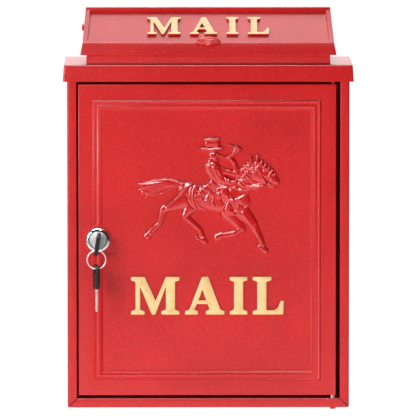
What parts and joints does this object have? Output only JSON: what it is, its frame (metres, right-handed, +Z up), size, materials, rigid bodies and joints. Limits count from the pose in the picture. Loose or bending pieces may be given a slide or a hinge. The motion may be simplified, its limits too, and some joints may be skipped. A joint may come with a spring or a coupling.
{
  "type": "wall-mounted post box",
  "caption": "Wall-mounted lockable letter box: folded steel body, cast hinged door with relief, roof, lift-up flap over the mail opening, cam lock with keys.",
  "frame": {"origin": "centre of the rectangle of four wall-screw holes, on the back face", "axes": "+X to the right of a person facing the door, +Y into the wall, +Z up"},
  "size_m": [0.311, 0.1447, 0.4312],
  "materials": {
    "red_paint": "fine textured powder coat, semi-gloss",
    "gold_paint": "satin cream-gold enamel",
    "zinc_steel": "zinc plated, bright",
    "lock_chrome": "polished",
    "lock_face": "satin nickel plated",
    "key_steel": "nickel plated, bright",
    "black_plastic": "moulded, fine grain"
  },
  "bodies": {
    "cabinet": {"body_wrap": "red_paint", "top_rail": "red_paint", "back_panel": "red_paint", "roof_cap": "red_paint", "hopper_collar": "red_paint", "flap_pins": "red_paint", "flap_pin_clips": "zinc_steel", "door_pin_top": "zinc_steel", "door_pin_bottom": "zinc_steel", "door_spacer": "zinc_steel"},
    "flap": {"flap_hood": "red_paint", "flap_letters": "gold_paint"},
    "door": {"door_panel": "red_paint", "door_letters": "gold_paint", "rider_relief": "red_paint", "lock_housing": "lock_chrome", "lock_washer": "zinc_steel", "lock_nut": "zinc_steel"},
    "lock_barrel": {"lock_plug": "lock_face", "lock_cam": "zinc_steel", "cam_washer": "zinc_steel", "cam_screw": "zinc_steel"},
    "key": {"key_bow": "black_plastic", "key_blade": "key_steel"},
    "ring": {"key_ring": "key_steel"},
    "spare_key": {"spare_key_bow": "black_plastic", "spare_key_blade": "key_steel"}
  },
  "joints": [
    {"name": "door_swing", "type": "hinge", "parent": "cabinet", "child": "door", "pos_m": [0.1339, -0.1005, 0], "axis": [0, 0, 1], "range_deg": [0, 105]},
    {"name": "flap_lift", "type": "hinge", "parent": "cabinet", "child": "flap", "pos_m": [0, -0.0275, 0.2192], "axis": [-1, 0, 0], "range_deg": [0, 60]},
    {"name": "lock_turn", "type": "hinge", "parent": "door", "child": "lock_barrel", "pos_m": [-0.1183, -0.1055, -0.003], "axis": [0, 1, 0], "range_deg": [0, 84]},
    {"name": "key_pull", "type": "slide", "parent": "lock_barrel", "child": "key", "axis": [0, -1, 0], "range_m": [0, 0.026]},
    {"name": "ring_swing", "type": "hinge", "parent": "key", "child": "ring", "pos_m": [-0.11966, -0.1336, -0.0117], "axis": [1, 0, 0], "range_deg": [-60, 10]},
    {"name": "spare_key_swing", "type": "hinge", "parent": "ring", "child": "spare_key", "pos_m": [-0.11966, -0.1336, -0.0315], "axis": [1, 0, 0], "range_deg": [-60, 10]}
  ]
}
